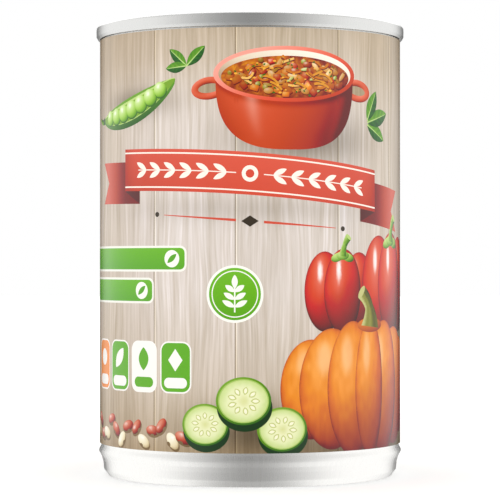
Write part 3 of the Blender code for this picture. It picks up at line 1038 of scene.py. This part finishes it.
def pea_pod(start=(-46.0, 85.5), stop=(-18.0, 94.0)):
    """An open pod: a long green crescent, its paler inside, seven round peas and a stub of stalk."""
    start, stop = np.array(start), np.array(stop)
    share = np.linspace(0.0, 1.0, 40)
    along = stop - start
    side = np.array([-along[1], along[0]]) / np.linalg.norm(along)
    line = start + share[:, None] * along - 2.6 * (4 * share * (1 - share))[:, None] * side
    swell = np.sin(math.pi * share) ** 0.6

    def shell(u, v):
        across = ((np.stack([u, v], 1) - start) @ side) / 4.0
        return ramp(0.62 + 0.4 * across + 0.03 * noise(u, v, 0.7, 3), *POD)

    yield Shape(band_outline(line, 3.3 * swell + 0.05), shell)
    yield Shape(band_outline(line + 0.35 * side, 2.35 * swell + 0.02), "b9d47c")
    yield Shape(band_outline(line + 0.2 * side, 2.0 * swell + 0.02), "7ba33c")
    for k in range(PEA_COUNT):
        place = 0.15 + 0.115 * k
        at = np.array([np.interp(place, share, line[:, 0]), np.interp(place, share, line[:, 1])]) + 0.5 * side
        radius = 1.55 + 0.55 * math.sin(math.pi * place)
        yield Shape(ellipse(at + (0.15, -0.3), radius, 0, 0.4), "456d1d")
        yield Shape(ellipse(at, radius, 0, 0.4), rounded_form(at, radius, PEA, 0, 0.7))
    stub = [start + 0.6 * along / 30, start - 0.08 * along, start - 0.13 * along + (0, 1.8)]
    yield from stalk(stub, (0.9, 0.55, 0.5), POD)


# Fresh leaves in two sprigs: base, tip and width
LEAVES = (
    ((31, 84), (38, 80.5), 3.6),
    ((31, 84.5), (39.5, 87), 4.0),
    ((31, 85), (34.5, 92.0), 3.6),
    ((-15, 97), (-10.5, 101.5), 2.8),
    ((-15, 97), (-19.5, 101.0), 2.6),
    ((-15, 97), (-20.5, 96.5), 2.6),
)


def leaf(base, tip, width):
    """A fresh leaf: a pointed oval, lighter on its upper half, with a pale midrib and side veins."""
    base, tip = np.array(base, float), np.array(tip, float)
    along = (tip - base) / math.dist(base, tip)
    side = np.array([-along[1], along[0]])

    def paint(u, v):
        away = np.stack([u, v], 1) - base
        across, down = (away @ side) / (0.5 * width), (away @ along) / math.dist(base, tip)
        ribs = 0.1 * np.cos(TURN * (down * 5.0 - np.abs(across) * 0.9))
        upper = 0.25 * np.sign(across) * np.sign(side[1] + 1e-9)
        return ramp(0.5 + upper - 0.2 * np.abs(across) + ribs, *LEAF)

    share = np.linspace(0.0, 0.93, 10)[:, None]
    midrib = band_outline(base + (tip - base) * share, np.linspace(0.16, 0.05, 10))
    return [Shape(leaf_outline(base, tip, width), paint), Shape(midrib, "b7d483")]


def sprigs():
    """Two sprigs of three fresh leaves."""
    return [shape for placed in LEAVES for shape in leaf(*placed)]


PALE = "f7f6ec"
STRIP_GREEN = ("5fa42c", "68ad32", "71b53b")
EMBLEM_GREEN = ("62a42a", "6eb036", "79ba43")
TILE_PALE, TILE_GREEN, TILE_ORANGE = "f7f4ee", "67ac31", "ee8f42"


def panels():
    """Two plain green strips with pale borders on the left, each with a leaf in a pale disc at its end."""
    for right, low, high in ((-15.0, 49.6, 55.6), (-24.0, 42.2, 48.2)):
        middle = 0.5 * (low + high)
        green = sloped((0.0, middle), 0.5 * (high - low), 0.5, (0.0, 0.5), *STRIP_GREEN)
        yield from nested_boxes((-78, low), (right, high), ((0.0, 1.6, "f3f1e6"), (0.5, 1.2, green)), MEDIUM)
        disc = np.array([right - 3.9, middle])
        yield Shape(ellipse(disc, 2.0), PALE)
        yield Shape(leaf_outline(disc - (1.2, 1.0), disc + (1.25, 1.1), 1.25), "5fa52e")


def tiles():
    """A row of plain rounded tiles with a pale border, each with one simple shape over a plain lozenge."""
    for k, code in enumerate((TILE_ORANGE, TILE_GREEN, TILE_PALE, TILE_GREEN)):
        low = np.array([-50.0 + 9.3 * k, 21.5])
        high = low + (8.3, 12.0)
        middle = 0.5 * (low + high) + (0.0, 1.7)
        ink = TILE_GREEN if code == TILE_PALE else TILE_PALE
        yield from nested_boxes(low, high, ((0.0, 2.2, TILE_PALE), (0.35, 1.9, code)))
        yield Shape(rounded_box(low + (1.1, 1.2), (high[0] - 1.1, low[1] + 3.6), 1.2), ink)
        marks = (
            ellipse(middle, 2.0),
            leaf_outline(middle - (1.7, 2.2), middle + (1.7, 2.4), 2.8),
            leaf_outline(middle + (0.0, 2.8), middle - (0.0, 2.6), 3.2),
            diamond(middle, (1.9, 2.6), 0.8),
        )
        yield Shape(marks[k], ink)


def emblem(centre=(-3.5, 44.5), radius=6.6):
    """A green disc with two pale rings and a sprig of seven leaves."""
    x, y = centre
    green = sloped(centre, radius, 0.5, (0.0, 0.5), *EMBLEM_GREEN)
    rings = ((0.0, PALE), (0.6, green), (1.2, PALE), (1.45, green))
    yield from [Shape(ellipse(centre, radius - inset), paint) for inset, paint in rings]
    stem = np.stack([np.full(12, x), np.linspace(y - 4.2, y + 1.6, 12)], 1)
    yield Shape(band_outline(stem, 0.17), PALE)
    for k, side in product(range(3), (-1, 1)):
        base = np.array([x, y - 3.0 + 1.75 * k])
        yield Shape(leaf_outline(base, base + (side * (2.9 - 0.35 * k), 1.5), 1.25), PALE)
    yield Shape(leaf_outline((x, y + 1.2), (x, y + 4.4), 1.4), PALE)


BEAN_COUNT = 15


def beans():
    """Kidney beans and white beans loose along the bottom, each with its shade and its notch."""
    rng = np.random.default_rng(4)
    shade = plank_paint("9c8a74")
    for k in range(BEAN_COUNT):
        along = -52.0 + 2.75 * k + rng.uniform(-0.4, 0.4)
        at = np.array([along, 12.2 + 2.2 * math.sin(1.9 * k) + rng.uniform(-0.4, 0.4)])
        size = np.array([2.1, 1.25]) * rng.uniform(0.92, 1.08)
        turn = rng.uniform(-60, 60)
        tones = KIDNEY_BEAN if k % 3 else WHITE_BEAN
        yield Shape(ellipse(at + (0.2, -0.45), size * 1.05, turn), shade, FINE, 0.5)
        yield Shape(ellipse(at, size, turn), rounded_form(at, size, tones, turn, 0.7))
        notch = turned_about(np.array([0.0, -size[1] * 0.95]), at, turn)
        yield Shape(ellipse(notch, size * (0.28, 0.3), turn, 0.3), shade, FINE, 0.5)


RULE_COUNT, DISC_COUNT = 14, 4
# The plain upright stripes on the back, and their widths, which repeat
STRIPE_COUNT = 22
STRIPE_WIDTHS = (0.3, 0.55, 0.2, 0.7, 0.35)


def back_panel():
    """A cream panel with a green heading, grey rules and plain stripes, and a coral one with leaf discs."""
    yield from nested_boxes((74, 16), (106, 98), ((0.0, 2.0, "f6f1e6"),), COARSE)
    yield from nested_boxes((75.5, 88), (104.5, 96.5), ((0.0, 1.4, "7abd43"),), COARSE)
    for k in range(RULE_COUNT):
        low = 84.0 - 3.4 * k
        yield Shape(box((77.0, low), (103.0, low + 0.25), 2.0), "a9a49c", COARSE)
    for k in range(STRIPE_COUNT):
        left = 78.5 + 1.05 * k
        stripe = box((left, 19.0), (left + STRIPE_WIDTHS[k % len(STRIPE_WIDTHS)], 31.0), 2.0)
        yield Shape(stripe, "3b3936", COARSE)
    layers = ((0.0, 2.0, CORAL), (0.8, 1.6, CREAM), (1.2, 1.4, CORAL))
    yield from nested_boxes((-106, 20), (-82, 96), layers, COARSE)
    for k in range(DISC_COUNT):
        centre = np.array([-94.0, 32.0 + 17.0 * k])
        yield Shape(ellipse(centre, 6.0), CREAM, MEDIUM)
        yield Shape(leaf_outline(centre - (3.0, 3.4), centre + (3.0, 3.4), 4.2), "74b93b", MEDIUM)


def artwork():
    """All shapes of the print, from the lowest to the uppermost."""
    pictures = (planks, back_panel, panels, pea_pod, pot, sprigs, ribbon, rules)
    pictures += (peppers, pumpkin, beans, courgettes, tiles, emblem)
    return [shape for picture in pictures for shape in picture()]


# The share of light from which a board counts as unshaded, and the lattice's scatter in steps
UNSHADED = 0.985
SCATTER = 0.12


def sheet_points(shapes):
    """Points of the print: the outlines' own and a lattice with a little scatter between them.

    The lattice keeps every point inside fine pictures and every second or fifth one elsewhere, and leaves a
    small gap along outlines, so that no sliver forms.
    """
    columns = int((SHEET_RIGHT - SHEET_LEFT) / LATTICE)
    rows = int((SHEET_HIGH - SHEET_LOW) / LATTICE)
    j, i = np.mgrid[1:rows, 1:columns]
    i, j = i.ravel(), j.ravel()
    at = np.stack([SHEET_LEFT + i * LATTICE, SHEET_LOW + j * LATTICE], 1)
    spacing = np.array([shape.spacing for shape in shapes])[top_shape(shapes, at)]
    shaded = (spacing == COARSE) & (soft_shadows(*at.T) < UNSHADED)
    spacing = np.where(shaded, MEDIUM, spacing)
    outlines = np.concatenate([shape.outline for shape in shapes])
    taken = np.zeros((rows + 2, columns + 2), bool)
    cell = np.round((outlines - (SHEET_LEFT, SHEET_LOW)) / LATTICE).astype(int)
    held = ((cell >= 0) & (cell < (columns + 2, rows + 2))).all(1)
    taken[cell[held, 1], cell[held, 0]] = True
    keep = (i % spacing == 0) & (j % spacing == 0) & ~taken[j, i]
    scatter = np.random.default_rng(2).uniform(-SCATTER, SCATTER, (len(at), 2)) * LATTICE * spacing[:, None]
    return (at + scatter)[keep]


WHOLE_HULL, WITHIN_SIDES = 0, 1


def triangulated(points, sides, reach, gap):
    """Places and triangles of a plane mesh through the points, cut along the sides.

    It reaches over the points' whole hull or lies within the sides, and points closer than the gap are one.
    """
    vectors = [Vector(point) for point in points.tolist()]
    found = delaunay_2d_cdt(vectors, sides.tolist(), [], reach, gap, False)
    return np.array([tuple(place) for place in found[0]]), np.array(found[2])


def closed_sides(start, count):
    """The sides of a closed loop of count points, numbered from start on."""
    return start + np.stack([np.arange(count), np.roll(np.arange(count), -1)], 1)


def sheet_triangles(shapes):
    """Triangles of the print in the sheet's plane, cut along every outline, and the shape each lies in."""
    low, high = np.array([SHEET_LEFT, SHEET_LOW]), np.array([SHEET_RIGHT, SHEET_HIGH])
    points = [sheet_points(shapes), box(low, high, 1.2), *(shape.outline for shape in shapes)]
    starts = np.cumsum([len(part) for part in points])
    sides = [closed_sides(start, len(part)) for start, part in zip(starts, points[1:])]
    places, faces = triangulated(np.concatenate(points), np.concatenate(sides), WHOLE_HULL, 1e-4)
    middle = places[faces].mean(1)
    on_sheet = ((middle > low) & (middle < high)).all(1)
    used, kept = np.unique(faces[on_sheet], return_inverse=True)
    return places[used], kept.reshape(-1, 3), top_shape(shapes, middle[on_sheet])


def wrapped(places, depth=0.0):
    """Points of the sheet laid round the can: the angle is u over the radius, and the front faces -Y.

    The radius is one paper thickness more where the free end lies over the other.
    """
    u, v = places.T
    angle = u / LABEL_RADIUS
    lapped = soft_step((SHEET_LEFT + LAP + LAP_RAMP - u) / LAP_RAMP)
    radius = LABEL_RADIUS + PAPER * lapped - depth
    return np.stack([radius * np.sin(angle), -radius * np.cos(angle), v], 1)


WHITE = (1.0, 1.0, 1.0, 1.0)
# Wood grain as (width mm, length mm, factor on the colour in dark streaks, factor in pale streaks)
GRAIN = (
    (0.7, 26.0, (0.80, 0.76, 0.68), (1.14, 1.15, 1.17)),
    (3.0, 80.0, (0.86, 0.84, 0.79), (1.12, 1.12, 1.13)),
)
# The grain wanders sideways by up to this many millimetres, in waves this wide and long
GRAIN_DRIFT = 3.0
DRIFT_SIZE = (9.0, 30.0)
FIBRE_SIZE = 0.35
# The varnish mirrors a little of the studio over the whole print, so the inks below it are that much darker.
VARNISH_HAZE = 0.035
DARKEST_INK = 0.004
BARE_PAPER = "efe9df"


def paper_material():
    """Coated label paper, offset printed and varnished.

    The eye gets a smooth, slightly glossy sheet with crisp print. The print's boards carry their own grain:
    fine upright streaks about 0.5 mm wide and broader bands about 3 mm wide, both very long.
    """
    material, add, shader = new_material("varnished_label_paper")
    colour = add("Attribute", attribute_name="print").outputs["Color"]
    wood = add("Attribute", attribute_name="wood").outputs["Fac"]
    place = add("UVMap", uv_map="sheet_mm")
    waves = {"Vector": place, "Scale": (1.0 / DRIFT_SIZE[0], 1.0 / DRIFT_SIZE[1], 1.0)}
    waver = add("Mapping", waves)
    drift = add("TexNoise", {"Vector": waver, "Scale": 1.0, "Detail": 1.0})
    aside = add("Math", {0: drift, 1: GRAIN_DRIFT}, operation="MULTIPLY")
    shift = add("CombineXYZ", {"X": aside})
    bent = add("VectorMath", {0: place, 1: shift}, operation="ADD")
    for width, length, dark, pale in GRAIN:
        spread = {"Vector": bent, "Scale": (1.0 / width, 1.0 / length, 1.0)}
        scaled = add("Mapping", spread)
        rough = {"Vector": scaled, "Scale": 1.0, "Detail": 4.0, "Roughness": 0.6}
        streaks = add("TexNoise", rough)
        tone = add("ValToRGB", {"Fac": streaks})
        for stop, position, factor in zip(tone.color_ramp.elements, (0.3, 0.7), (dark, pale)):
            stop.position, stop.color = position, (*factor, 1.0)
        # Inputs 6 and 7 and output 2 are the ones for colours.
        sides = {"Factor": wood, 6: WHITE, 7: tone}
        grain = add("Mix", sides, data_type="RGBA").outputs[2]
        colour = add("VectorMath", {0: colour, 1: grain}, operation="MULTIPLY")
    fibre = add("TexNoise", {"Vector": place, "Scale": 1.0 / FIBRE_SIZE, "Detail": 2.0})
    bump = add("Bump", {"Height": fibre, "Strength": 0.08, "Distance": 0.02 * MM})
    feed(shader, {"Base Color": colour, "Roughness": 0.17, "Normal": bump})
    return material


def rim_loop(faces):
    """The sheet's boundary as one loop of point numbers, anticlockwise: the sides that only one face has."""
    sides = np.concatenate([faces[:, [0, 1]], faces[:, [1, 2]], faces[:, [2, 0]]])
    paired = {tuple(side) for side in sides.tolist()}
    after = {a: b for a, b in paired if (b, a) not in paired}
    loop = [min(after)]
    while len(loop) < len(after):
        loop.append(after[loop[-1]])
    return np.array(loop)


def corner_inks(shapes, number, corners, count):
    """Linear ink colour and share of wood grain at each face's three corners, bare paper past the print."""
    colours = np.broadcast_to(srgb(BARE_PAPER), (count, 3, 3)).copy()
    wood = np.zeros((count, 3))
    for k, shape in enumerate(shapes):
        mine = np.flatnonzero(number == k)
        if len(mine):
            flat = isinstance(shape.paint, str)
            painted = srgb(shape.paint) if flat else shape.paint(*corners[mine].reshape(-1, 2).T)
            colours[mine] = np.broadcast_to(painted, (3 * len(mine), 3)).reshape(-1, 3, 3)
            wood[mine] = shape.wood
    inks = (linear(colours.reshape(-1, 3)) - VARNISH_HAZE) / (1.0 - VARNISH_HAZE)
    return np.concatenate([np.clip(inks, DARKEST_INK, 1.0), np.ones((3 * count, 1))], 1), wood


# Shares of the finish's square: the print takes its upper part, and the plain faces the strip below
PRINT_PART = 0.95
PLAIN_PART = 0.03


def build_label():
    """The printed sheet: its outer face from the print's triangles, a plain inner face, and the cut edges.

    The print faces straight out and the inner face straight in, and each cut edge has its own flat normal.
    """
    shapes = artwork()
    places, faces, number = sheet_triangles(shapes)
    count = len(places)
    rim = rim_loop(faces)
    sides = closed_sides(0, len(rim))
    inner_faces = triangulated(places[rim], sides, WITHIN_SIDES, 1e-6)[1][:, ::-1] + count
    k, after = sides.T
    edge_first = np.stack([rim[after], rim[k], count + k], 1)
    edge_second = np.stack([rim[after], count + k, count + after], 1)
    all_faces = np.concatenate([faces, inner_faces, edge_first, edge_second])
    points = np.concatenate([wrapped(places), wrapped(places[rim], PAPER)])
    flat_places = np.concatenate([places, places[rim]])[all_faces]

    share = (flat_places - (SHEET_LEFT, SHEET_LOW)) / (SHEET_AROUND, SHEET_HIGH - SHEET_LOW)
    share[: len(faces)] = share[: len(faces)] * (1.0, PRINT_PART) + (0.0, 1.0 - PRINT_PART)
    share[len(faces) :] *= (1.0, PLAIN_PART)
    rgba, wood = corner_inks(shapes, number, places[faces], len(all_faces))
    mesh = bpy.data.meshes.new("wrapped_label")
    mesh.from_pydata((points * MM).tolist(), [], all_faces.tolist())
    fill(mesh.color_attributes.new("print", "FLOAT_COLOR", "CORNER").data, "color", rgba)
    fill(mesh.attributes.new("wood", "FLOAT", "CORNER").data, "value", wood)
    fill(mesh.uv_layers.new(name="sheet_mm").uv, "vector", flat_places)
    fill(mesh.uv_layers.new(name="OFBake").uv, "vector", share)

    angle = points[:, :2] / np.linalg.norm(points[:, :2], axis=1)[:, None]
    normals = np.concatenate([angle, np.zeros((len(points), 1))], 1)[all_faces]
    normals[len(faces) : len(faces) + len(inner_faces)] *= -1.0
    edges = slice(len(faces) + len(inner_faces), None)
    first, second, third = points[all_faces[edges]].transpose(1, 0, 2)
    across = np.cross(second - first, third - first)
    normals[edges] = (across / np.linalg.norm(across, axis=1)[:, None])[:, None]
    mesh.shade_smooth()
    mesh.normals_split_custom_set(normals.reshape(-1, 3).tolist())
    mesh.materials.append(paper_material())
    settle(shown("wrapped_label", mesh), "coated_paper", "paper_label")


# The studio. Each part of the light tent comes in along a direction's turn, from 0 in front to 1 straight
# behind, or along its level, from -1 straight down to 1 straight up. The four numbers are where it starts and
# ends, and what it runs between: the walls' brightness, and for the rest a factor or a share.
TENT_PARTS = {
    "front_to_side": ("turn", 0.0, 0.47, 0.345, 1.16),
    "shoulder": ("level", 0.35, 0.75, 1.0, 0.8),
    "overhead": ("level", 0.86, 1.0, 0.0, 1.0),
    "gap": ("turn", 0.74, 0.90, 0.0, 0.95),
    "window": ("level", 0.15, 0.38, 1.0, -1.1),
    "above_window": ("level", 0.6, 0.75, 0.0, 1.0),
    "below_gap": ("level", -0.35, -0.12, 0.25, 1.0),
    "underfoot": ("level", -1.0, -0.85, 1.0, 0.0),
}
ROOF_BRIGHTNESS = 0.5
TABLE_BRIGHTNESS = 0.46
ROOM_BRIGHTNESS = 0.74
GAP_ABOVE_WINDOW = 0.42
FILL_TURN = math.radians(50.0)
FILL_DISTANCE = 900.0
FILL_HEIGHT = 350.0
TOP_HEIGHT = 1000.0
FLOOR_HALF = 3000.0


def softbox(name, place, size, watts):
    """A soft lamp aimed at the can, its size in metres. It lights the paper, and metal mirrors the tent."""
    light = bpy.data.lights.new(name, "AREA")
    light.shape = "RECTANGLE"
    light.size, light.size_y = size
    light.energy = watts
    lamp = aimed(shown(name, light), place, 0.5 * CAN_HEIGHT)
    lamp.visible_glossy = False


def tent_brightness(add):
    """How bright the light tent round the can is in each direction, for the surfaces that mirror it.

    In front, where the camera looks through its opening, the tent is grey. Its sides are white, and greyer
    towards the shoulder. Behind, a gap is dark at the can's own height. Above that the window's factor falls
    below 0, so that the gap adds light. The middle of the roof is grey, and underfoot lies the pale table.
    """
    place = add("TexCoord")
    parts = add("SeparateXYZ", {0: place.outputs["Generated"]})
    aside = add("Math", {0: parts.outputs["X"]}, operation="ABSOLUTE")
    ahead = add("Math", {0: parts.outputs["Y"], 1: -1.0}, operation="MULTIPLY")
    angle = add("Math", {0: aside, 1: ahead}, operation="ARCTAN2")
    turn = add("Math", {0: angle, 1: math.pi}, operation="DIVIDE")
    measures = {"turn": turn, "level": parts.outputs["Z"]}
    part = {}
    for name, (measure, start, stop, first, last) in TENT_PARTS.items():
        limits = {"From Min": start, "From Max": stop, "To Min": first, "To Max": last}
        limits["Value"] = measures[measure]
        part[name] = add("MapRange", limits, interpolation_type="SMOOTHSTEP")
    chain = (
        ("walls", "MULTIPLY", "front_to_side", "shoulder"),
        ("tent", "MIX", "walls", ROOF_BRIGHTNESS, "overhead"),
        ("height", "MIX", "window", GAP_ABOVE_WINDOW, "above_window"),
        ("dark", "MULTIPLY", "height", "below_gap"),
        ("taken", "MULTIPLY", "gap", "dark"),
        ("left", "SUBTRACT", 1.0, "taken"),
        ("mirrored", "MULTIPLY", "tent", "left"),
        ("all", "MIX", "mirrored", TABLE_BRIGHTNESS, "underfoot"),
    )
    for name, operation, *sources in chain:
        first, second, *share = (part.get(source, source) for source in sources)
        if operation == "MIX":
            part[name] = add("Mix", {"A": first, "B": second, "Factor": share[0]})
        else:
            part[name] = add("Math", {0: first, 1: second}, operation=operation)
    return part["all"]


def build_studio():
    """Two fill lamps in front, one softbox above, a pale floor, and the tent that the metal mirrors."""
    for side in (-1, 1):
        x, y = FILL_DISTANCE * math.sin(FILL_TURN), -FILL_DISTANCE * math.cos(FILL_TURN)
        softbox(f"front_fill_{side}", (side * x, y, FILL_HEIGHT), (0.8, 0.7), 1.5)
    softbox("top_softbox", (0.0, 0.0, TOP_HEIGHT), (0.7, 0.7), 1.8)

    # A matt white board that glows a little, more so far from the can, so that it meets the backdrop unseen
    board, add, shader = new_material("matt_white_floor")
    place = add("TexCoord").outputs["Object"]
    reach = add("VectorMath", {0: place}, operation="LENGTH").outputs["Value"]
    limits = {"Value": reach, "From Min": 0.04, "From Max": 0.4, "To Min": 0.25, "To Max": 0.5}
    glow = add("MapRange", limits)
    feed(shader, {"Base Color": linear_rgba("f4f4f3"), "Roughness": 0.9})
    feed(shader, {"Emission Color": WHITE, "Emission Strength": glow})
    corners = box((-FLOOR_HALF, -FLOOR_HALF), (FLOOR_HALF, FLOOR_HALF))
    floor = mesh_piece("floor", np.column_stack([corners, np.zeros(4)]), [(0, 1, 2, 3)], board)
    floor.visible_glossy = False

    world = bpy.data.worlds.new("light_tent")
    bpy.context.scene.world = world
    world.use_nodes = True
    # The tent differs from the room, so lamps' sampling mustn't stand in for what a surface mirrors.
    world.cycles.sampling_method = "NONE"
    world.node_tree.nodes.clear()
    add = partial(add_node, world.node_tree)
    path = add("LightPath")
    strengths = (ROOM_BRIGHTNESS, tent_brightness(add), 1.0)
    room, tent, backdrop = (
        add("Background", {"Color": WHITE, "Strength": strength}) for strength in strengths
    )
    mirrored = add("MixShader", {0: path.outputs["Is Glossy Ray"], 1: room, 2: tent})
    seen = add("MixShader", {0: path.outputs["Is Camera Ray"], 1: mirrored, 2: backdrop})
    add("OutputWorld", {"Surface": seen})


def build_camera():
    """The photograph's lens and place."""
    lens = bpy.data.cameras.new("camera")
    lens.sensor_width = SENSOR_MM
    lens.lens = FOCAL_PIXELS / IMAGE_PIXELS * SENSOR_MM
    lens.clip_start = 0.02
    place = (0.0, -CAMERA_DISTANCE, CAMERA_HEIGHT)
    bpy.context.scene.camera = aimed(shown("camera", lens), place, CAMERA_AIM_HEIGHT)


bpy.context.scene.view_settings.view_transform = "Standard"
build_camera()
build_metal()
build_label()
build_studio()
